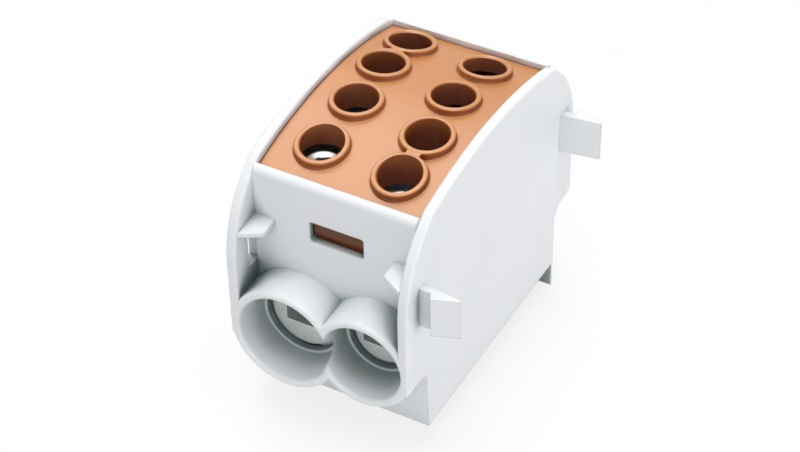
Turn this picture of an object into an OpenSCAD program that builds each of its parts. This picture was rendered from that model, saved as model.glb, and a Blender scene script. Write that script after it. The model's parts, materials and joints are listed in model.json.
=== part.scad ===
// Single-pole distribution block for a 35 mm mounting rail.
// X runs along the rail, Y runs from the front funnels to the rear ones, Z is up.
// The origin is the middle of the face that sits on the rail.

/* [Housing] */
// Width over the outer faces of the two cheeks
housing_w = 30; // [29:0.5:36]
// Thickness of a cheek
cheek_t = 1.65; // [1.2:0.05:2]
// Length over the rounded cheeks
cheek_l = 54.6; // [53:0.2:60]
// Height of the crown of the cheeks
crown_z = 42.6; // [42:0.1:44]
// Radius of the crown, seen from the side
crown_r = 72; // [60:1:90]
// Radius of the cheek shoulders
shoulder_r = 17.8; // [15:0.2:19]
// Height of the centres of the shoulder arcs
shoulder_z = 25; // [23:0.5:26]
// Rounding of the cheeks' edges
cheek_edge = 0.45; // [0.2:0.05:0.6]
// Height of the underside of the cheeks' bulges
bulge_z = 11.4; // [10:0.1:12.5]
// Fillet under a bulge
bulge_fillet = 1.5; // [0.5:0.1:2]
// Rounding of the two upright rear corners
corner_r = 1; // [0.3:0.1:1.2]
// Thickness of the floor
floor_t = 1.6; // [1.2:0.1:2.4]
// Height of the floor's underside above the rail
floor_z = 2; // [1:0.1:2.6]

/* [End walls] */
// Distance over the outer faces of the two end walls
wall_span = 42.8; // [42:0.2:46]
// Thickness of an end wall
wall_t = 1.2; // [1:0.1:1.8]
// Height of the ledge at the top of an end wall
ledge_z = 39.3; // [38.8:0.1:40]
// Rounding of the ledge's outer edge
ledge_r = 1.1; // [0.4:0.1:1.1]
// Width of the latch window
window_w = 8.9; // [6:0.1:12]
// Height of the latch window
window_h = 3.6; // [2.5:0.1:5]
// Height of the window's lower edge
window_z = 29.1; // [27:0.1:30]
// Rounding of the window's corners
window_r = 0.45; // [0.1:0.05:0.8]
// Sideways shift of the latch window
window_x = 0.45; // [0:0.05:1.5]

/* [Conductor entries] */
// Height of the large entry's axis
large_z = 13.2; // [13:0.1:14]
// Inner radius of the large funnel at its mouth
large_funnel_r = 7.5; // [7.2:0.05:7.7]
// Radius of the hole behind the large funnel
large_hole_r = 6.15; // [5.9:0.05:6.5]
// Height of the small entry's axis
small_z = 14.2; // [13.6:0.1:14.6]
// Inner radius of the small funnel at its mouth
small_funnel_r = 6.5; // [6.2:0.05:6.7]
// Radius of the hole behind the small funnel
small_hole_r = 5.1; // [4.9:0.05:5.4]
// Wall thickness of the funnels at the mouth
funnel_t = 1.4; // [1.2:0.05:1.6]
// Ring between a hole and the root of its funnel
ring_w = 0.5; // [0.2:0.05:0.7]
// Draft of a funnel's outside
funnel_draft = 0.3; // [0:0.05:0.5]

/* [Side hooks] */
// Reach of a hook beyond the cheek
hook_reach = 6.5; // [5.5:0.1:8]
// Thickness of a hook's tongue
hook_t = 1.5; // [1.2:0.1:1.9]
// Depth of the barb
barb_d = 1.25; // [0.8:0.05:1.5]
// Height of a hook
hook_h = 6.9; // [5:0.1:8]
// Height of a hook's middle
hook_z = 26; // [25:0.1:26.5]
// Clearance round a hook in the slot of the next block
hook_clear = 0.15; // [0.1:0.05:0.3]
// Width of the shelf over a hook slot
shelf_w = 3.5; // [2.5:0.1:4]
// Rise of the shelf towards the wall
shelf_rise = 0.6; // [0:0.1:1]
// Thickness of the shelf
shelf_t = 0.65; // [0.5:0.05:1.2]

/* [Rail foot] */
// Width of the mounting rail
rail_w = 35; // [35:0.1:35.4]
// Thickness of the rail's flange
rail_t = 1; // [1:0.1:1.5]
// Clearance of the rail in the foot
rail_clear = 0.2; // [0.1:0.05:0.4]
// Depth of the rear lip below the rail face
lip_drop = 4.5; // [3.5:0.1:6]
// Thickness of the rear lip
lip_t = 1.35; // [1:0.05:1.8]
// Distance of the rear lip's outer face from the middle
lip_y = 22.25; // [22:0.05:23.5]
// Width of the sprung tongue in the rear lip
tongue_w = 14; // [10:0.5:18]
// Width of the slits beside the tongue
slit_w = 1; // [0.6:0.1:1.5]
// Height of the slits' upper ends
slit_z = 8; // [6:0.5:8.5]
// Width of a fixed rail hook
foot_w = 6; // [4:0.5:8]

/* [Cover] */
// Height of the cover's crown
cover_z = 41.55; // [41:0.05:42]
// Radius of the cover's arched face
cover_r = 66; // [60:1:80]
// Thickness of the cover
cover_t = 1.6; // [1.2:0.1:2]
// Clearance between the cover and the housing
cover_clear = 0.15; // [0.1:0.05:0.3]
// Radius of the screw access holes
access_r = 3.3; // [3.2:0.05:3.6]
// Wall of a collar round a screw hole
collar_wall = 0.85; // [0.6:0.05:1]
// Height of a collar above the cover
collar_h = 1; // [0.7:0.05:1.2]
// Rounding of a collar's rim
rim_r = 0.35; // [0.1:0.05:0.4]
// Splay of a collar's root
root_r = 0.25; // [0.1:0.05:0.35]
// Width of the land that joins two close collars
land_w = 2.2; // [1:0.1:3]
// Wall of a tube under the cover
tube_wall = 0.95; // [0.9:0.05:1]
// Height of the lower ends of the large screws' tubes
large_tube_z = 38.1; // [37.8:0.1:38.4]
// Height of the lower ends of the small screws' tubes
small_tube_z = 36.3; // [36:0.1:37.5]
// Recess of the latch nose behind the wall's outer face
nose_recess = 0.8; // [0.2:0.05:1]

/* [Terminal block] */
// Gap between the terminal block and a cheek
side_gap = 0.45; // [0.2:0.05:0.8]
// Height of the terminal block's underside
block_z = 7.4; // [6:0.1:7.6]
// Height of the terminal block's top
block_top = 27; // [24:0.5:28]
// Gap between the terminal block and an end wall
block_gap = 0.3; // [0.2:0.05:0.6]
// Gap between a spigot and the hole round it
spigot_gap = 0.7; // [0.4:0.05:0.9]
// Recess of a spigot's face behind the wall's outer face
spigot_recess = 0.7; // [0.3:0.05:1]
// Width of the large conductor opening
large_slot_w = 6.3; // [6.1:0.05:7]
// Width of the small conductor opening
small_slot_w = 6.2; // [6.1:0.05:6.4]
// Floor of the large conductor opening
large_slot_z = 11.3; // [10.5:0.1:12]
// Floor of the small conductor opening
small_slot_z = 12.5; // [12:0.1:12.8]
// Roof of both conductor openings
slot_top = 17.1; // [16.8:0.1:17.3]
// Width of the groove along the block's top
groove_w = 4; // [2:0.1:5]
// Depth of the groove along the block's top
groove_d = 5; // [2:0.1:7]

/* [Clamp screws] */
// Radius of a clamp screw
screw_r = 3; // [2.9:0.05:3.05]
// Radial clearance of a screw in its thread
thread_clear = 0.05; // [0.02:0.01:0.08]
// Length of a large entry's screw
large_screw_l = 20; // [18:0.5:20.2]
// Length of a small entry's screw
small_screw_l = 18; // [16:0.5:18.2]
// Height of a large entry's screw head, fully open
large_head_z = 37.4; // [37.2:0.1:37.8]
// Height of a small entry's screw head, fully open
small_head_z = 35.6; // [35.4:0.1:36]
// Width across the flats of the hexagon socket
socket_af = 3; // [2.5:0.1:3.4]
// Depth of the hexagon socket
socket_d = 3.5; // [2:0.1:4]
// Distance of the outer large screw from the middle
large_outer_y = 13.6; // [13.2:0.1:14]
// Distance of the inner large screw from the middle
large_inner_y = 3.6; // [3.5:0.1:4.2]
// Distance of the outer small screw from the middle
small_outer_y = 14.5; // [14.2:0.1:14.8]
// Distance of the inner small screw from the middle
small_inner_y = 6.2; // [6.1:0.1:6.6]

/* [Hidden] */
$fn = 96;
eps = 0.01;
in_x = housing_w/2 - cheek_t;
wall_y = wall_span/2;
in_y = wall_y - wall_t;
mouth_y = cheek_l/2;
funnel_l = mouth_y - wall_y;
base_top = bulge_z + 3;
wall_foot = bulge_z - bulge_fillet;
large_x = housing_w/2 - large_funnel_r - funnel_t;
small_x = housing_w/2 - small_funnel_r - funnel_t;
// Draft of the front face between the rail and the funnels
front_draft = 0.5;
// Posts, ribs and seats inside the housing
rib_t = 1.6;
rib_lift = 0.2;
pad_w = 4;
pad_half = 15.8;
seat_t = 2;
seat_y = 11.5;
cover_seat_z = 35.4;
cover_seat_w = 1.1;
cover_seat_l = 30;
// Hook
throat = cheek_t + hook_clear;
hook_in_y = wall_y + 0.65;
hook_out_y = hook_in_y + hook_t;
barb_x = 0.6;
tip_t = 0.3;
tip_in = 0.9;
slot_z0 = hook_z - hook_h/2 - 3*hook_clear;
slot_z1 = hook_z + hook_h/2 + hook_clear;
slot_in_y = wall_y - 0.3;
slot_out_y = hook_out_y + hook_clear;
shelf_z = slot_z1 + eps;
shelf_front = mouth_y - 0.95;
shelf_corner = shelf_front - 1.9;
// Rail foot
grip_z = rail_t + rail_clear;
fixed_y = rail_w/2 + rail_clear;
fixed_t = 1.1;
fixed_lip = 1.3;
fixed_drop = 2.6;
fixed_x = 8;
nose_tip_y = rail_w/2 - 0.8;
nose_h = 2;
nose_lead = 1.2;
lip_in_y = lip_y - lip_t;
// Cover
cover_x = in_x - cover_clear;
cover_y = in_y - cover_clear;
skirt_t = 1.2;
collar_sink = 0.3;
rim_chamfer = 0.2;
collar_draft = 0.06;
latch_side = 0.25;
latch_t = 1.2;
latch_z = window_z - 0.6;
nose_top = window_z + window_h - 0.3;
nose_bottom = window_z + 0.3;
// Terminal block
block_w = 2*(in_x - side_gap);
block_y = in_y - block_gap;
spigot_y = wall_y - spigot_recess;
large_spigot_r = large_hole_r - spigot_gap;
small_spigot_r = small_hole_r - spigot_gap;
large_end_y = large_inner_y - screw_r - 0.4;
small_end_y = small_inner_y - screw_r - 0.4;
block_chamfer = 0.8;
slot_corner = 0.5;
// Screws
screw_chamfer = 0.35;

// The cover's arched face at a distance y from the middle
function arch_z(y) = cover_z - cover_r + sqrt(cover_r*cover_r - y*y);
function arch_tilt(y) = asin(y/cover_r);

// An outline in the Y-Z plane, carried along X from x0 to x1
module along_x(x0, x1) {
    translate([x0, 0, 0]) rotate([90, 0, 90]) linear_extrude(x1 - x0) children();
}

// A solid that points up, laid over so that it points to the front from y = -y0
module to_front(x, z, y0) {
    translate([x, -y0, z]) rotate([90, 0, 0]) children();
}

// The same thing at the front and, turned half way round, at the rear
module both_ends() {
    for (a = [0, 180]) rotate(a) children();
}

// A disc with a rounded rim, standing on edge: its axis runs along X from x0
module rim_disc(x0, y, z, r) {
    translate([x0, y, z]) rotate([90, 0, 90]) rotate_extrude($fn = 240) {
        square([r - cheek_edge, cheek_t]);
        translate([0, cheek_edge]) square([r, cheek_t - 2*cheek_edge]);
        for (a = [cheek_edge, cheek_t - cheek_edge])
            translate([r - cheek_edge, a]) circle(cheek_edge, $fn = 32);
    }
}

module rounded_rect(w, h, r) {
    translate([r, 0]) square([w - 2*r, h]);
    translate([0, r]) square([w, h - 2*r]);
    for (x = [r, w - r], y = [r, h - r]) translate([x, y]) circle(r, $fn = 32);
}

// The rounded upper part of a cheek: shoulder discs and a slab, trimmed by the crown
module cheek_bow(x0) {
    intersection() {
        rim_disc(x0, 0, crown_z - crown_r, crown_r);
        union() {
            for (s = [-1, 1]) rim_disc(x0, s*(mouth_y - shoulder_r), shoulder_z, shoulder_r);
            translate([x0, shoulder_r - mouth_y, shoulder_z])
                cube([cheek_t, cheek_l - 2*shoulder_r, crown_z]);
            translate([x0, -mouth_y, bulge_z]) linear_extrude(shoulder_z - bulge_z)
                rounded_rect(cheek_t, cheek_l, cheek_edge);
        }
    }
}

// The lower part of a cheek, with a fillet under each bulge
module cheek_foot_outline() {
    polygon([[-wall_y + front_draft, 0], [lip_y, 0], [lip_y, bulge_z + eps], [-wall_y, bulge_z + eps],
        [-wall_y, wall_foot]]);
    difference() {
        translate([-wall_y - bulge_fillet, wall_foot]) square([bulge_fillet + eps, bulge_fillet + eps]);
        translate([-wall_y - bulge_fillet, wall_foot]) circle(bulge_fillet);
    }
    difference() {
        translate([lip_y - eps, wall_foot]) square([bulge_fillet + eps, bulge_fillet + eps]);
        translate([lip_y + bulge_fillet, wall_foot]) circle(bulge_fillet);
    }
}

module cheek(x0) {
    cheek_bow(x0);
    along_x(x0, x0 + cheek_t) cheek_foot_outline();
}

module end_wall_outline() {
    translate([-wall_y, base_top]) square([wall_t, ledge_z - ledge_r - base_top]);
    translate([ledge_r - wall_y, ledge_z - ledge_r]) square([wall_t - ledge_r, ledge_r]);
    intersection() {
        translate([ledge_r - wall_y, ledge_z - ledge_r]) circle(ledge_r);
        translate([-wall_y, ledge_z - ledge_r]) square([wall_t, ledge_r]);
    }
}

module end_walls() {
    both_ends() along_x(-in_x - eps, in_x + eps) end_wall_outline();
    along_x(-in_x - eps, in_x + eps) {
        polygon([[-wall_y + front_draft, 0], [-in_y, 0], [-in_y, base_top + eps],
            [-wall_y, base_top + eps], [-wall_y, wall_foot]]);
        polygon([[lip_in_y, 0], [lip_y, 0], [lip_y, wall_foot], [wall_y, wall_foot + 1],
            [wall_y, base_top + eps], [in_y, base_top + eps], [in_y, wall_foot],
            [lip_in_y, wall_foot - 2]]);
    }
}

// The upright rear corners, rounded off
module rear_corner_cuts() {
    for (s = [-1, 1])
        translate([s*(housing_w/2 - corner_r), lip_y - corner_r, -lip_drop - eps])
            linear_extrude(wall_foot + lip_drop) difference() {
                translate([s > 0 ? 0 : -corner_r - eps, 0]) square([corner_r + eps, corner_r + eps]);
                circle(corner_r, $fn = 48);
            }
}

// The outside of one funnel, a slim cone with a round lip, from the wall to the mouth
module funnel_form(r) {
    lip = funnel_t/2;
    rotate_extrude() {
        polygon([[0, -wall_t], [r + funnel_t + funnel_draft, -wall_t], [r + funnel_t + funnel_draft, 0],
            [r + funnel_t, funnel_l - lip], [0, funnel_l - lip]]);
        translate([0, funnel_l - lip - eps]) square([r + lip, lip + eps]);
        translate([r + lip, funnel_l - lip]) circle(lip, $fn = 48);
    }
}

module funnel_outside() {
    intersection() {
        union() {
            to_front(-large_x, large_z, wall_y) funnel_form(large_funnel_r);
            to_front(small_x, small_z, wall_y) funnel_form(small_funnel_r);
        }
        translate([-housing_w/2, -mouth_y, 0]) cube([housing_w, funnel_l + wall_t, crown_z]);
    }
}

// The hollow of one funnel: a cone from the ring at its root to the inner side of its round lip
module funnel_hollow(root, r) {
    lip = funnel_t/2;
    rotate_extrude() {
        polygon([[0, 0], [root, 0], [r, funnel_l - lip], [r, funnel_l + eps], [0, funnel_l + eps]]);
        difference() {
            translate([r - eps, funnel_l - lip]) square([lip + eps, lip + eps]);
            translate([r + lip, funnel_l - lip]) circle(lip, $fn = 48);
        }
    }
}

module funnel_inside() {
    to_front(-large_x, large_z, wall_y) funnel_hollow(large_hole_r + ring_w, large_funnel_r);
    to_front(small_x, small_z, wall_y) funnel_hollow(small_hole_r + ring_w, small_funnel_r);
    to_front(-large_x, large_z, in_y - eps) cylinder(h = wall_t + 1, r = large_hole_r);
    to_front(small_x, small_z, in_y - eps) cylinder(h = wall_t + 1, r = small_hole_r);
}

// The shelf above a hook slot, on the inner side of a cheek; it rises towards the wall
module shelf(side) {
    w = shelf_w;
    intersection() {
        translate([0, 0, shelf_z]) linear_extrude(shelf_t + shelf_rise + eps)
            polygon([[side*(in_x + eps), -wall_y + eps], [side*(in_x - w), -wall_y + eps],
                [side*(in_x - w), -shelf_corner], [side*(in_x + eps), -shelf_front]]);
        along_x(-housing_w/2, housing_w/2)
            polygon([[-shelf_front, shelf_z], [-wall_y + eps, shelf_z + shelf_rise/2],
                [-wall_y + eps, shelf_z + shelf_t + shelf_rise], [-shelf_front, shelf_z + shelf_t]]);
    }
}

module hook() {
    x0 = housing_w/2;
    translate([0, 0, hook_z - hook_h/2]) linear_extrude(hook_h)
        polygon([[x0 - eps, -hook_in_y], [x0 + hook_reach, -hook_in_y - tip_in],
            [x0 + hook_reach, -hook_in_y - tip_in - tip_t],
            [x0 + throat + barb_x, -hook_out_y - barb_d], [x0 + throat, -hook_out_y],
            [x0 - eps, -hook_out_y]]);
}

module hook_slot() {
    translate([-housing_w/2 - eps, -slot_out_y, slot_z0])
        cube([cheek_t + 2*eps, slot_out_y - slot_in_y, slot_z1 - slot_z0]);
}

module window() {
    translate([window_x - window_w/2, -in_y + eps, window_z]) rotate([90, 0, 0])
        linear_extrude(wall_t + 2*eps) rounded_rect(window_w, window_h, window_r);
}

module floor_and_ribs() {
    translate([-in_x - eps, -in_y - eps, floor_z]) cube([2*in_x + 2*eps, in_y + lip_in_y + 2*eps, floor_t]);
    translate([-rib_t/2, -in_y - eps, rib_lift]) cube([rib_t, in_y + lip_in_y - 2, floor_z - rib_lift + eps]);
    translate([-pad_w/2, -pad_half, 0]) cube([pad_w, 2*pad_half, floor_z + eps]);
    for (s = [-1, 1]) {
        translate([-in_x - eps, s*seat_y - rib_t/2, rib_lift])
            cube([2*in_x + 2*eps, rib_t, floor_z - rib_lift + eps]);
        translate([-in_x - eps, s*seat_y - seat_t/2, floor_z + floor_t - eps])
            cube([2*in_x + 2*eps, seat_t, block_z - floor_z - floor_t + eps]);
        translate([s*(in_x - cover_seat_w/2) - cover_seat_w/2 - eps, -cover_seat_l/2, cover_seat_z - 1.4])
            cube([cover_seat_w + 2*eps, cover_seat_l, 1.4]);
    }
}

module rail_foot() {
    // Two fixed hooks under the front
    for (s = [-1, 1])
        along_x(s*fixed_x - foot_w/2, s*fixed_x + foot_w/2)
            polygon([[-fixed_y - fixed_t, floor_z + eps], [-fixed_y, floor_z + eps], [-fixed_y, -grip_z],
                [-fixed_y + fixed_lip, -grip_z - 0.3], [-fixed_y + fixed_lip - 0.5, -fixed_drop],
                [-fixed_y - fixed_t/2, -fixed_drop], [-fixed_y - fixed_t, -fixed_drop + 0.7]]);
    // The rear lip
    along_x(-housing_w/2, housing_w/2)
        polygon([[lip_in_y, eps], [lip_in_y, -lip_drop], [lip_y, -lip_drop], [lip_y, eps]]);
    // The catch on its sprung tongue
    along_x(-tongue_w/2, tongue_w/2)
        polygon([[lip_in_y + eps, -grip_z], [nose_tip_y, -grip_z - 0.3], [nose_tip_y, -grip_z - 0.8],
            [nose_tip_y + nose_lead, -grip_z - nose_h], [lip_in_y + eps, -grip_z - nose_h]]);
}

module tongue_slits() {
    for (s = [-1, 1])
        translate([s*(tongue_w + slit_w)/2 - slit_w/2, lip_in_y - eps, -lip_drop - eps])
            cube([slit_w, lip_t + 2*eps, lip_drop + slit_z]);
}

module housing() {
    color("gainsboro") difference() {
        union() {
            difference() {
                union() {
                    cheek(-housing_w/2);
                    cheek(in_x);
                    end_walls();
                    rail_foot();
                }
                rear_corner_cuts();
            }
            floor_and_ribs();
            both_ends() {
                funnel_outside();
                shelf(1);
                shelf(-1);
            }
            hook();
            mirror([0, 1, 0]) hook();
        }
        both_ends() {
            funnel_inside();
            window();
        }
        hook_slot();
        mirror([0, 1, 0]) hook_slot();
        tongue_slits();
    }
}

// The screw places of one end: x, y, lower end of the tube
function end_screws() = [[-large_x, -large_outer_y, large_tube_z], [-large_x, -large_inner_y, large_tube_z],
    [small_x, -small_outer_y, small_tube_z], [small_x, -small_inner_y, small_tube_z]];

module arch_outline(inset, side, below) {
    intersection() {
        translate([0, cover_z - cover_r]) circle(cover_r - inset, $fn = 360);
        translate([side - cover_y, cover_seat_z - below])
            square([2*(cover_y - side), crown_z - cover_seat_z + below]);
    }
}

// A collar square to the arched face, with a rounded rim and a splayed root
module collar_form() {
    w = access_r + collar_wall;
    rotate_extrude() polygon(concat([[0, -collar_sink], [w + root_r, -collar_sink], [w + collar_draft, root_r]],
        [for (a = [0:22.5:90]) [w - rim_r + rim_r*cos(a), collar_h - rim_r + rim_r*sin(a)]],
        [[0, collar_h]]));
}

module on_arch(x, y) {
    translate([x, y, arch_z(y)]) rotate([-arch_tilt(y), 0, 0]) children();
}

module collar(s) {
    on_arch(s[0], s[1]) collar_form();
    translate([s[0], s[1], s[2]])
        cylinder(h = arch_z(s[1]) - s[2] - cover_t/2, r = access_r + tube_wall);
}

// The flat land between the rims of the two close collars
module land() {
    gap = small_outer_y - small_inner_y - 2*access_r;
    on_arch(small_x, -(small_outer_y + small_inner_y)/2)
        translate([-land_w/2, -gap/2 - 0.4, -collar_sink])
            cube([land_w, gap + 0.8, collar_h + collar_sink]);
}

// The latch tongue behind an end wall, its nose in the window
module latch() {
    along_x(window_x - window_w/2 + latch_side, window_x + window_w/2 - latch_side)
        polygon([[-cover_y, cover_seat_z + eps], [-cover_y, nose_top], [-wall_y + nose_recess, nose_top],
            [-wall_y + nose_recess, nose_bottom + 1], [-cover_y, nose_bottom], [-cover_y, latch_z],
            [-cover_y + latch_t, latch_z], [-cover_y + latch_t, cover_seat_z + eps]]);
}

module cover() {
    color("peru") difference() {
        union() {
            difference() {
                along_x(-cover_x, cover_x) arch_outline(0, 0, 0);
                along_x(-cover_x + skirt_t, cover_x - skirt_t) arch_outline(cover_t, skirt_t, 1);
            }
            both_ends() {
                for (s = end_screws()) collar(s);
                land();
                latch();
            }
        }
        both_ends() for (s = end_screws()) {
            translate([s[0], s[1], s[2] - 1]) cylinder(h = crown_z, r = access_r);
            on_arch(s[0], s[1]) translate([0, 0, collar_h - 2*rim_chamfer])
                cylinder(h = 3*rim_chamfer, r1 = access_r - rim_chamfer, r2 = access_r + 2*rim_chamfer);
        }
    }
}

module entry(x, z, slot_w, slot_z, end_y) {
    translate([x - slot_w/2, -wall_y, slot_z]) cube([slot_w, wall_y - end_y, slot_top - slot_z]);
}

module terminal_block() {
    w = block_w/2;
    c = block_chamfer;
    color("silver") difference() {
        union() {
            translate([0, block_y, 0]) rotate([90, 0, 0]) linear_extrude(2*block_y)
                polygon([[-w + c, block_z], [w - c, block_z], [w, block_z + c], [w, block_top - c],
                    [w - c, block_top], [groove_w/2, block_top], [groove_w/2, block_top - groove_d],
                    [-groove_w/2, block_top - groove_d], [-groove_w/2, block_top],
                    [-w + c, block_top], [-w, block_top - c], [-w, block_z + c]]);
            both_ends() {
                to_front(-large_x, large_z, block_y - eps)
                    cylinder(h = spigot_y - block_y + eps, r = large_spigot_r);
                to_front(small_x, small_z, block_y - eps)
                    cylinder(h = spigot_y - block_y + eps, r = small_spigot_r);
            }
        }
        both_ends() {
            entry(-large_x, large_z, large_slot_w, large_slot_z, large_end_y);
            entry(small_x, small_z, small_slot_w, small_slot_z, small_end_y);
            for (s = end_screws())
                translate([s[0], s[1], slot_top - eps])
                    cylinder(h = block_top - slot_top + 1, r = screw_r + thread_clear);
        }
    }
}

// A headless clamp screw with a hexagon socket, its top at z
module clamp_screw(x, y, z, length) {
    c = screw_chamfer;
    color("whitesmoke") translate([x, y, z - length]) difference() {
        rotate_extrude() polygon([[0, 0], [screw_r - c, 0], [screw_r, c], [screw_r, length - c],
            [screw_r - c, length], [0, length]]);
        translate([0, 0, length - socket_d])
            cylinder(h = socket_d + 1, r = socket_af/2/cos(30), $fn = 6);
    }
}

module front_large_outer_screw() { clamp_screw(-large_x, -large_outer_y, large_head_z, large_screw_l); }
module front_large_inner_screw() { clamp_screw(-large_x, -large_inner_y, large_head_z, large_screw_l); }
module front_small_outer_screw() { clamp_screw(small_x, -small_outer_y, small_head_z, small_screw_l); }
module front_small_inner_screw() { clamp_screw(small_x, -small_inner_y, small_head_z, small_screw_l); }
module rear_large_outer_screw() { clamp_screw(large_x, large_outer_y, large_head_z, large_screw_l); }
module rear_large_inner_screw() { clamp_screw(large_x, large_inner_y, large_head_z, large_screw_l); }
module rear_small_outer_screw() { clamp_screw(-small_x, small_outer_y, small_head_z, small_screw_l); }
module rear_small_inner_screw() { clamp_screw(-small_x, small_inner_y, small_head_z, small_screw_l); }

housing();
cover();
terminal_block();
front_large_outer_screw();
front_large_inner_screw();
front_small_outer_screw();
front_small_inner_screw();
rear_large_outer_screw();
rear_large_inner_screw();
rear_small_outer_screw();
rear_small_inner_screw();
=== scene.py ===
import json
import math
import bpy
import numpy as np
from mathutils import Matrix, Vector


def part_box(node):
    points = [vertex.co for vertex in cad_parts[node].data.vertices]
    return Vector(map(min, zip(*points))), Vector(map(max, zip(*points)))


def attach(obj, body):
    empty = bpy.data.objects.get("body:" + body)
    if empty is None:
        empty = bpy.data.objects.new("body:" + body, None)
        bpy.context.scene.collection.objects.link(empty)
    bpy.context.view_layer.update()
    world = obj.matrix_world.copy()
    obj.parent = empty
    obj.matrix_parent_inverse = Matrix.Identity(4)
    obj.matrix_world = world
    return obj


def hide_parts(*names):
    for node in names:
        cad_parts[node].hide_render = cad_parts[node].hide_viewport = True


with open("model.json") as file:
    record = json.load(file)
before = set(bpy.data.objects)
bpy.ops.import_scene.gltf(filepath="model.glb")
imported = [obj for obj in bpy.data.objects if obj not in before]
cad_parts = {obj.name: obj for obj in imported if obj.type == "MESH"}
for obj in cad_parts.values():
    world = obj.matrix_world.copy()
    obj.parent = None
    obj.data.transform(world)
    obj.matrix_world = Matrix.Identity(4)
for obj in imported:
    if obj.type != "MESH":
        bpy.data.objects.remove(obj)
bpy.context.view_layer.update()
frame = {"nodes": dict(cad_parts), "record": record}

scene = bpy.context.scene
mm = 0.001
noiseSpan = (0.3, 0.7)      # where most of a noise's values lie
narrowSpan = (0.35, 0.65)   # the same with more contrast
bevelSamples = 6
openSamples = 8
print("frame loaded:", len(frame["nodes"]), "nodes")


def meshObject(name, points, faces, smooth=True):
    mesh = bpy.data.meshes.new(name)
    mesh.from_pydata(points.tolist(), [], faces)
    mesh.polygons.foreach_set("use_smooth", np.full(len(mesh.polygons), smooth))
    mesh.update()
    piece = bpy.data.objects.new(name, mesh)
    scene.collection.objects.link(piece)
    return piece


def ringFaces(rows, around):
    # quads between neighbouring rows of a closed ring grid, the last column joined to the first
    i, j = np.meshgrid(np.arange(rows - 1), np.arange(around), indexing="ij")
    k = (j + 1) % around
    quads = np.stack([i*around + j, i*around + k, (i + 1)*around + k, (i + 1)*around + j], -1)
    return quads.reshape(-1, 4).tolist()


def newMaterial(name):
    material = bpy.data.materials.new(name)
    material.use_nodes = True
    nodes = material.node_tree.nodes
    shader = nodes["Principled BSDF"]
    return material, nodes, material.node_tree.links, shader


def noiseNode(nodes, links, source, scale, detail=3.0, roughness=0.5):
    noise = nodes.new("ShaderNodeTexNoise")
    noise.inputs["Scale"].default_value = scale
    noise.inputs["Detail"].default_value = detail
    noise.inputs["Roughness"].default_value = roughness
    links.new(source, noise.inputs["Vector"])
    return noise.outputs["Fac"]


def rangeNode(nodes, links, value, lowIn, highIn, lowOut, highOut, curve="LINEAR"):
    node = nodes.new("ShaderNodeMapRange")
    node.interpolation_type = curve
    links.new(value, node.inputs["Value"])
    for key, number in (("From Min", lowIn), ("From Max", highIn), ("To Min", lowOut), ("To Max", highOut)):
        node.inputs[key].default_value = number
    return node.outputs["Result"]


def blendColours(nodes, links, value, first, second):
    mix = nodes.new("ShaderNodeMix")
    mix.data_type = "RGBA"
    links.new(value, mix.inputs["Factor"])
    for key, colour in (("A", first), ("B", second)):
        socket = [s for s in mix.inputs if s.name == key and s.type == "RGBA"][0]
        if isinstance(colour, tuple):
            socket.default_value = (*colour, 1)
        else:
            links.new(colour, socket)
    return [s for s in mix.outputs if s.type == "RGBA"][0]


def bumpNode(nodes, links, height, strength, distance, normal=None):
    bump = nodes.new("ShaderNodeBump")
    bump.inputs["Strength"].default_value = strength
    bump.inputs["Distance"].default_value = distance
    links.new(height, bump.inputs["Height"])
    if normal is not None:
        links.new(normal, bump.inputs["Normal"])
    return bump.outputs["Normal"]


def roundedNormal(nodes, radius):
    bevel = nodes.new("ShaderNodeBevel")
    bevel.samples = bevelSamples
    bevel.inputs["Radius"].default_value = radius
    return bevel.outputs["Normal"]


def edgeLean(nodes, links, normal):
    # how far the rounded normal leans away from the flat one: 0 on flats, 1 from a cosine of 0.8 down
    geometry = nodes.new("ShaderNodeNewGeometry")
    dot = nodes.new("ShaderNodeVectorMath")
    dot.operation = "DOT_PRODUCT"
    links.new(normal, dot.inputs[0])
    links.new(geometry.outputs["Normal"], dot.inputs[1])
    return rangeNode(nodes, links, dot.outputs["Value"], 1.0, 0.8, 0.0, 1.0)


def mathNode(nodes, links, operation, *values):
    node = nodes.new("ShaderNodeMath")
    node.operation = operation
    for socket, value in zip(node.inputs, values):
        links.new(value, socket)
    return node.outputs[0]


def axisOf(nodes, links, vector, axis):
    # size of one part of a vector, whatever its sign
    split = nodes.new("ShaderNodeSeparateXYZ")
    links.new(vector, split.inputs[0])
    return mathNode(nodes, links, "ABSOLUTE", split.outputs[axis])


def paintedCreviceShade(nodes, links, look, tone):
    # painted shade: open surfaces keep the tone, and the closer the walls round a point are, the darker the
    # colour is painted, standing in for the shade in hollows, holes and corners
    shade = nodes.new("ShaderNodeAmbientOcclusion")
    shade.samples = openSamples
    shade.inputs["Distance"].default_value = look["creviceReach"]
    openness = rangeNode(nodes, links, shade.outputs["AO"], *look["creviceRange"], 0.0, 1.0, "SMOOTHSTEP")
    if "creviceBelow" in look:
        # above this height the walls stay light, as they catch the light thrown back by the cover
        place = nodes.new("ShaderNodeTexCoord").outputs["Object"]
        lit = rangeNode(nodes, links, axisOf(nodes, links, place, "Z"), *look["creviceBelow"], 0.0, 1.0)
        openness = mathNode(nodes, links, "MAXIMUM", openness, lit)
    return blendColours(nodes, links, openness, look["creviceShadeColour"], tone)


def uprightAmount(nodes, links, look, normal):
    # 1 on upright faces, such as the flanks and insides of the collars and the latch noses, 0 on level ones
    height = axisOf(nodes, links, normal, "Z")
    return rangeNode(nodes, links, height, *look["uprightRange"], 1.0, 0.0, "SMOOTHSTEP")


def rimTone(nodes, links, look, place, tone):
    # the outermost strip of the cover lies in the seam's shade, and the latch noses in their windows' shade
    for axis in ("X", "Y"):
        reach = axisOf(nodes, links, place, axis)
        share = rangeNode(nodes, links, reach, *look["rimFrom" + axis], 0.0, look["rimShare"])
        tone = blendColours(nodes, links, share, tone, look["rimColour"])
    return tone


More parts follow.
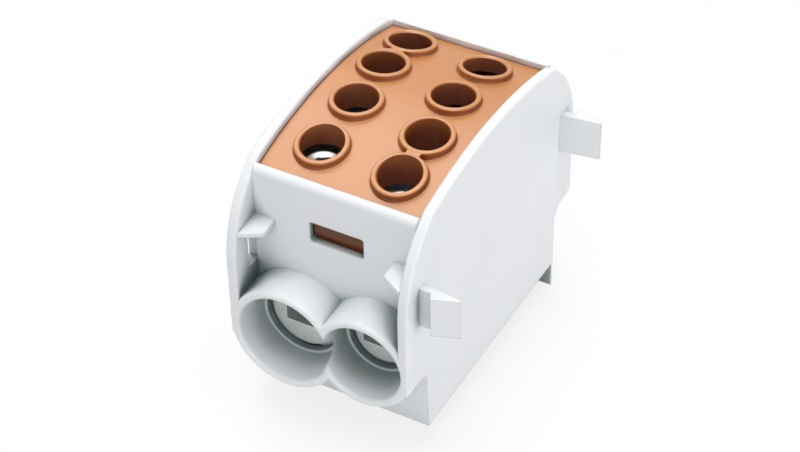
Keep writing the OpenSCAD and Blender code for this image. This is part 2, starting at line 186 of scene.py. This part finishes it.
def mouldedPlastic(name, look):
    material, nodes, links, shader = newMaterial(name)
    place = nodes.new("ShaderNodeTexCoord").outputs["Object"]
    cloud = noiseNode(nodes, links, place, look["cloudScale"], 2.0)
    grain = noiseNode(nodes, links, place, look["grainScale"], 4.0, 0.6)
    rounded = roundedNormal(nodes, look["edgeRadius"])
    edges = edgeLean(nodes, links, rounded)
    tone = blendColours(nodes, links, rangeNode(nodes, links, cloud, *noiseSpan, 0.0, 1.0),
                        look["colour"], look["colourAway"])
    # painted highlight: the rounded edges blend toward a lighter edge colour, plainly so on the cover's
    # rims, while the housing's edge colour is nearly its base tone
    tone = blendColours(nodes, links, rangeNode(nodes, links, edges, 0.0, 1.0, 0.0, look["edgeHighlightShare"]),
                        tone, look["edgeHighlightColour"])
    shader.inputs["Specular IOR Level"].default_value = look["specular"]
    # painted shade: upright faces, such as the collars' flanks and insides and the latch noses, are blended
    # toward the shade colour, as they lie out of the light from above; their specular level moves to the
    # upright value too
    if "uprightShadeShare" in look:
        upright = uprightAmount(nodes, links, look, rounded)
        share = rangeNode(nodes, links, upright, 0.0, 1.0, 0.0, look["uprightShadeShare"])
        tone = blendColours(nodes, links, share, tone, look["creviceShadeColour"])
        links.new(rangeNode(nodes, links, upright, 0.0, 1.0, look["specular"], look["uprightSpecular"]),
                  shader.inputs["Specular IOR Level"])
    if "rimShare" in look:
        tone = rimTone(nodes, links, look, place, tone)
    links.new(paintedCreviceShade(nodes, links, look, tone), shader.inputs["Base Color"])
    links.new(rangeNode(nodes, links, grain, *noiseSpan, *look["roughness"]), shader.inputs["Roughness"])
    links.new(bumpNode(nodes, links, grain, look["grainDepth"], look["grainHeight"], rounded),
              shader.inputs["Normal"])
    shader.inputs["Subsurface Weight"].default_value = look["glow"]
    shader.inputs["Subsurface Radius"].default_value = look["glowRadius"]
    shader.inputs["Subsurface Scale"].default_value = mm
    return material


housingLook = {
    "colour": (0.745, 0.763, 0.783), "colourAway": (0.728, 0.748, 0.768), "edgeHighlightColour": (0.74, 0.755, 0.77),
    "edgeHighlightShare": 0.5, "cloudScale": 55.0, "grainScale": 2600.0, "grainDepth": 0.10, "grainHeight": 0.04*mm,
    "roughness": (0.40, 0.52), "specular": 0.42, "edgeRadius": 0.40*mm,
    "creviceReach": 14.0*mm, "creviceRange": (0.26, 0.53), "creviceShadeColour": (0.165, 0.220, 0.215),
    "creviceBelow": (34.5*mm, 37.5*mm),
    "glow": 0.06, "glowRadius": (0.9, 0.9, 0.9)}
coverLook = {
    "colour": (0.515, 0.207, 0.057), "colourAway": (0.480, 0.190, 0.052), "edgeHighlightColour": (0.74, 0.36, 0.15),
    "edgeHighlightShare": 0.45, "cloudScale": 70.0, "grainScale": 2200.0, "grainDepth": 0.12, "grainHeight": 0.04*mm,
    "roughness": (0.33, 0.45), "specular": 0.85, "edgeRadius": 0.25*mm,
    "creviceReach": 7.0*mm, "creviceRange": (0.30, 0.74), "creviceShadeColour": (0.180, 0.036, 0.011),
    "uprightRange": (0.30, 0.90), "uprightShadeShare": 0.60, "uprightSpecular": 0.30,
    "rimFromX": (13.00*mm, 13.12*mm), "rimFromY": (19.83*mm, 19.95*mm), "rimShare": 0.90,
    "rimColour": (0.100, 0.030, 0.012),
    "glow": 0.02, "glowRadius": (1.0, 0.5, 0.2)}
housingPlastic = mouldedPlastic("housingPlastic", housingLook)
coverPlastic = mouldedPlastic("coverPlastic", coverLook)
print("plastics ready")


tinLook = {"colour": (0.680, 0.710, 0.705), "colourAway": (0.600, 0.630, 0.625), "dullScale": 420.0,
           "millScale": 2400.0, "millStretch": (1.0, 0.08, 1.0), "millDepth": 0.15, "millHeight": 0.03*mm,
           "roughness": (0.42, 0.60), "metallic": 0.7, "edgeRadius": 0.25*mm}


def tinnedMetal(look):
    material, nodes, links, shader = newMaterial("tinnedMetal")
    place = nodes.new("ShaderNodeTexCoord").outputs["Object"]
    stretched = nodes.new("ShaderNodeMapping")
    stretched.inputs["Scale"].default_value = look["millStretch"]  # mill marks run along the conductors
    links.new(place, stretched.inputs["Vector"])
    dull = noiseNode(nodes, links, place, look["dullScale"], 4.0, 0.6)
    mill = noiseNode(nodes, links, stretched.outputs["Vector"], look["millScale"], 2.0)
    rounded = roundedNormal(nodes, look["edgeRadius"])
    links.new(blendColours(nodes, links, rangeNode(nodes, links, dull, *narrowSpan, 0.0, 1.0),
                           look["colour"], look["colourAway"]), shader.inputs["Base Color"])
    links.new(rangeNode(nodes, links, dull, *noiseSpan, *look["roughness"]), shader.inputs["Roughness"])
    links.new(bumpNode(nodes, links, mill, look["millDepth"], look["millHeight"], rounded),
              shader.inputs["Normal"])
    shader.inputs["Metallic"].default_value = look["metallic"]
    return material


steelLook = {"colour": (0.90, 0.90, 0.89), "colourAway": (0.82, 0.83, 0.83), "ringScale": 9000.0,
             "ringDepth": 0.03*mm, "spotScale": 800.0, "roughness": (0.26, 0.40),
             "creviceReach": 2.5*mm, "creviceRange": (0.22, 0.60), "creviceShadeColour": (0.04, 0.04, 0.04)}


def screwSteel(look):
    material, nodes, links, shader = newMaterial("screwSteel")
    place = nodes.new("ShaderNodeTexCoord").outputs["Object"]
    radial = nodes.new("ShaderNodeAttribute")
    # distance from the screw's own axis for the turning marks, and how far in the socket's shade
    radial.attribute_name = "turnRadiusAndSocketShade"
    rings = noiseNode(nodes, links, radial.outputs["Vector"], look["ringScale"], 1.0)
    spots = noiseNode(nodes, links, place, look["spotScale"], 3.0, 0.6)
    tone = blendColours(nodes, links, rangeNode(nodes, links, spots, *narrowSpan, 0.0, 1.0),
                        look["colour"], look["colourAway"])
    shade = axisOf(nodes, links, radial.outputs["Vector"], "Y")
    # painted shade: the socket's lowest rows are blended toward the near-black shade colour
    tone = blendColours(nodes, links, shade, tone, look["creviceShadeColour"])
    links.new(paintedCreviceShade(nodes, links, look, tone), shader.inputs["Base Color"])
    links.new(rangeNode(nodes, links, spots, *noiseSpan, *look["roughness"]), shader.inputs["Roughness"])
    links.new(bumpNode(nodes, links, rings, 1.0, look["ringDepth"]), shader.inputs["Normal"])
    shader.inputs["Metallic"].default_value = 1.0
    return material


tinMaterial = tinnedMetal(tinLook)
steelMaterial = screwSteel(steelLook)


def dress(node, material):
    piece = frame["nodes"][node]
    piece.data.materials.clear()
    piece.data.materials.append(material)


dress("housing", housingPlastic)
dress("cover", coverPlastic)
dress("terminal_block", tinMaterial)
print("nodes dressed")


screwShape = {
    "around": 48, "rowsPerTurn": 8, "pitch": 1.0*mm, "threadDepth": 0.42*mm, "waveGain": 1.7,
    "crestShare": 0.35, "crest": 2.98*mm, "chamfer": 0.45*mm, "point": 2.0*mm, "pointLength": 1.6,
    # the head's rim, row by row: distance in from the crest and distance below the head
    "rim": ((0.12*mm, 0.20*mm), (0.22*mm, 0.06*mm), (0.36*mm, 0.0), (0.50*mm, 0.0), (0.62*mm, 0.02*mm)),
    "dish": 0.26*mm, "dishMargin": 0.05*mm, "socketAcross": 3.0*mm, "socketLead": 0.12*mm,
    "socketDepth": 3.4*mm, "floorShare": 0.85, "floorStep": 0.12*mm, "socketCone": 0.7*mm,
    "socketShade": (0.45, 0.95, 1.0)}
creaseAngle = 38


def hexRadius(angle, across):
    # distance from the axis to a hexagon's flat side in that direction: half the width over the
    # cosine of the angle left to the nearest flat
    left = np.mod(angle + math.pi/6, math.pi/3) - math.pi/6
    return across/2/np.cos(left)


def threadedScrew(name, low, high, shape):
    # every row is a ring: its radius depends on the angle and its height on the row
    around = shape["around"]
    angle = np.arange(around)*2*math.pi/around
    centre = (low + high)/2
    length = high[2] - low[2]
    crest, depth = shape["crest"], shape["threadDepth"]
    flank = np.arange(0, length - shape["chamfer"], shape["pitch"]/shape["rowsPerTurn"])
    # thread: crest radius less a clipped triangle wave of height over pitch plus angle over a turn
    wave = np.abs(2*np.mod(flank[:, None]/shape["pitch"] - angle[None]/(2*math.pi), 1) - 1)
    groove = np.clip(shape["waveGain"]*wave - shape["crestShare"], 0, 1)
    # the groove fades in over the first turn and out over the last
    below = length - shape["chamfer"] - flank
    fade = np.clip(flank/shape["pitch"], 0, 1)*np.clip(below/shape["pitch"], 0, 1)
    threadRows = crest - depth*groove*fade[:, None]
    along = np.clip(flank/shape["chamfer"]/shape["pointLength"], 0, 1)
    taper = shape["point"] + (crest - shape["point"])*along
    threadRows = np.minimum(threadRows, taper[:, None])
    hexagon = hexRadius(angle, shape["socketAcross"])
    plain = np.ones(around)
    corner = hexagon.max()
    mouth, floor = length - shape["dish"], length - shape["socketDepth"]
    top = [(plain*crest, length - shape["chamfer"])]
    top += [(plain*(crest - inset), length - drop) for inset, drop in shape["rim"]]
    top += [(plain*(corner + shape["dishMargin"]), mouth),
            (hexagon/2 + corner/2, mouth - shape["socketLead"]/2), (hexagon, mouth - shape["socketLead"]),
            (hexagon, floor), (hexagon*shape["floorShare"], floor - shape["floorStep"])]
    radii = np.vstack([threadRows] + [row for row, _ in top])
    heights = np.concatenate([flank, [z for _, z in top]])
    rows = len(heights)
    points = np.empty((rows, around, 3))
    points[..., 0] = centre[0] + radii*np.cos(angle)
    points[..., 1] = centre[1] + radii*np.sin(angle)
    points[..., 2] = low[2] + heights[:, None]
    points = points.reshape(-1, 3)
    tip = np.array([[centre[0], centre[1], low[2]]])
    pit = np.array([[centre[0], centre[1], high[2] - shape["socketDepth"] - shape["socketCone"]]])
    faces = ringFaces(rows, around)
    first, last = len(points), len(points) + 1
    step = np.arange(around)
    after = (step + 1) % around
    faces += np.stack([after, step, np.full(around, first)], -1).tolist()
    base = (rows - 1)*around
    faces += np.stack([base + step, base + after, np.full(around, last)], -1).tolist()
    points = np.vstack([points, tip, pit])
    piece = meshObject(name, points, faces)
    radial = np.zeros((len(points), 3))
    radial[:, 0] = np.hypot(points[:, 0] - centre[0], points[:, 1] - centre[1])
    # second part: 0 outside, and in the socket's three lowest rows the share of its shade
    shade = np.zeros(rows)
    shade[-len(shape["socketShade"]):] = shape["socketShade"]
    radial[:, 1] = np.concatenate([np.repeat(shade, around), [0, shape["socketShade"][-1]]])
    layer = piece.data.attributes.new("turnRadiusAndSocketShade", "FLOAT_VECTOR", "POINT")
    layer.data.foreach_set("vector", radial.ravel())
    piece.data.materials.append(steelMaterial)
    return piece


bodyOf = {node: body for body, nodes in frame["record"]["behaviour"]["bodies"].items() for node in nodes}
for node in sorted(frame["nodes"]):
    if node.endswith("_screw"):
        low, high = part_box(node)
        piece = threadedScrew(node + "_threaded", np.array(low), np.array(high), screwShape)
        piece.data.set_sharp_from_angle(angle=math.radians(creaseAngle))
        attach(piece, bodyOf[node])
        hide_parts(node)
print("screws threaded")


stageLook = {"floorZ": -4.6*mm, "size": 3.0, "glowShare": 0.80, "farShare": 1.0, "farRange": (0.12, 0.40),
             "glow": 1.02, "colour": (0.75, 0.75, 0.75), "roughness": 0.9}


def seenDirectly(nodes, links):
    # 1 for rays from the camera, from a reflection or through something clear, and 0 for diffuse light
    path = nodes.new("ShaderNodeLightPath")
    total = path.outputs["Is Camera Ray"]
    for kind in ("Is Glossy Ray", "Is Transmission Ray"):
        total = mathNode(nodes, links, "MAXIMUM", total, path.outputs[kind])
    return total


def paleFloor(look):
    half = look["size"]/2
    z = look["floorZ"]
    points = np.array([[-half, -half, z], [half, -half, z], [half, half, z], [-half, half, z]])
    floor = meshObject("paleFloor", points, [[0, 1, 2, 3]], smooth=False)
    material, nodes, links, shader = newMaterial("palePaper")
    shader.inputs["Base Color"].default_value = (*look["colour"], 1)
    shader.inputs["Roughness"].default_value = look["roughness"]
    shader.inputs["Specular IOR Level"].default_value = 0.0
    # the camera and reflections see mostly plain white, with the object's shadow kept in it near the middle
    distance = nodes.new("ShaderNodeVectorMath")
    distance.operation = "LENGTH"
    links.new(nodes.new("ShaderNodeTexCoord").outputs["Object"], distance.inputs[0])
    share = rangeNode(nodes, links, distance.outputs["Value"], *look["farRange"],
                      look["glowShare"], look["farShare"])
    seen = mathNode(nodes, links, "MULTIPLY", share, seenDirectly(nodes, links))
    glow = nodes.new("ShaderNodeEmission")
    glow.inputs["Strength"].default_value = look["glow"]
    mix = nodes.new("ShaderNodeMixShader")
    links.new(seen, mix.inputs[0])
    links.new(shader.outputs[0], mix.inputs[1])
    links.new(glow.outputs[0], mix.inputs[2])
    links.new(mix.outputs[0], nodes["Material Output"].inputs["Surface"])
    floor.data.materials.append(material)


def softWorld(ambient):
    # plain white for the camera and for reflections, dimmer as a light
    world = bpy.data.worlds.new("softRoom")
    scene.world = world
    world.use_nodes = True
    nodes, links = world.node_tree.nodes, world.node_tree.links
    background = nodes["Background"]
    background.inputs["Color"].default_value = (1, 1, 1, 1)
    strength = rangeNode(nodes, links, seenDirectly(nodes, links), 0, 1, ambient, 1.0)
    links.new(strength, background.inputs["Strength"])


def softLamp(name, place, aim, size, power):
    lamp = bpy.data.lights.new(name, "AREA")
    lamp.shape = "DISK"
    lamp.size = size
    lamp.energy = power
    holder = bpy.data.objects.new(name, lamp)
    scene.collection.objects.link(holder)
    holder.location = place
    holder.rotation_euler = (Vector(aim) - Vector(place)).to_track_quat("-Z", "Y").to_euler()


lampSet = {
    "ambient": 0.30,
    "above": {"place": (0.03, -0.05, 0.60), "aim": (0, 0, 0.02), "size": 0.44, "power": 2.3},
    "behind": {"place": (-0.24, 0.22, 0.52), "aim": (0, 0, 0.02), "size": 0.45, "power": 1.3},
    "right": {"place": (0.58, 0.02, 0.12), "aim": (0, 0, 0.02), "size": 0.40, "power": 1.5},
    "front": {"place": (0.04, -0.56, 0.20), "aim": (0, 0, 0.02), "size": 0.40, "power": 0.80}}
paleFloor(stageLook)
softWorld(lampSet["ambient"])
for name in ("above", "behind", "right", "front"):
    lamp = lampSet[name]
    softLamp(name + "Lamp", lamp["place"], lamp["aim"], lamp["size"], lamp["power"])

# fitted to the photo
viewPoint = {"azimuth": 29.542, "elevation": 40.029, "roll": -0.989, "lens": 97.03, "sensor": 36,
             "clip": (0.01, 10), "place": (123.934*mm, -220.846*mm, 230.349*mm)}


def setCamera(view):
    az, el, roll = (math.radians(view[k]) for k in ("azimuth", "elevation", "roll"))
    back = Vector((math.sin(az)*math.cos(el), -math.cos(az)*math.cos(el), math.sin(el)))
    right = Vector((math.cos(az), math.sin(az), 0))
    up = back.cross(right)
    turnedRight = right*math.cos(roll) + up*math.sin(roll)
    turnedUp = up*math.cos(roll) - right*math.sin(roll)
    turn = Matrix((turnedRight, turnedUp, back)).transposed().to_4x4()
    data = bpy.data.cameras.new("photoView")
    data.lens = view["lens"]
    data.sensor_width = view["sensor"]
    data.clip_start, data.clip_end = view["clip"]
    camera = bpy.data.objects.new("photoView", data)
    scene.collection.objects.link(camera)
    camera.matrix_world = Matrix.Translation(view["place"]) @ turn
    scene.camera = camera


setCamera(viewPoint)
scene.view_settings.view_transform = "Standard"
print("light and camera set")
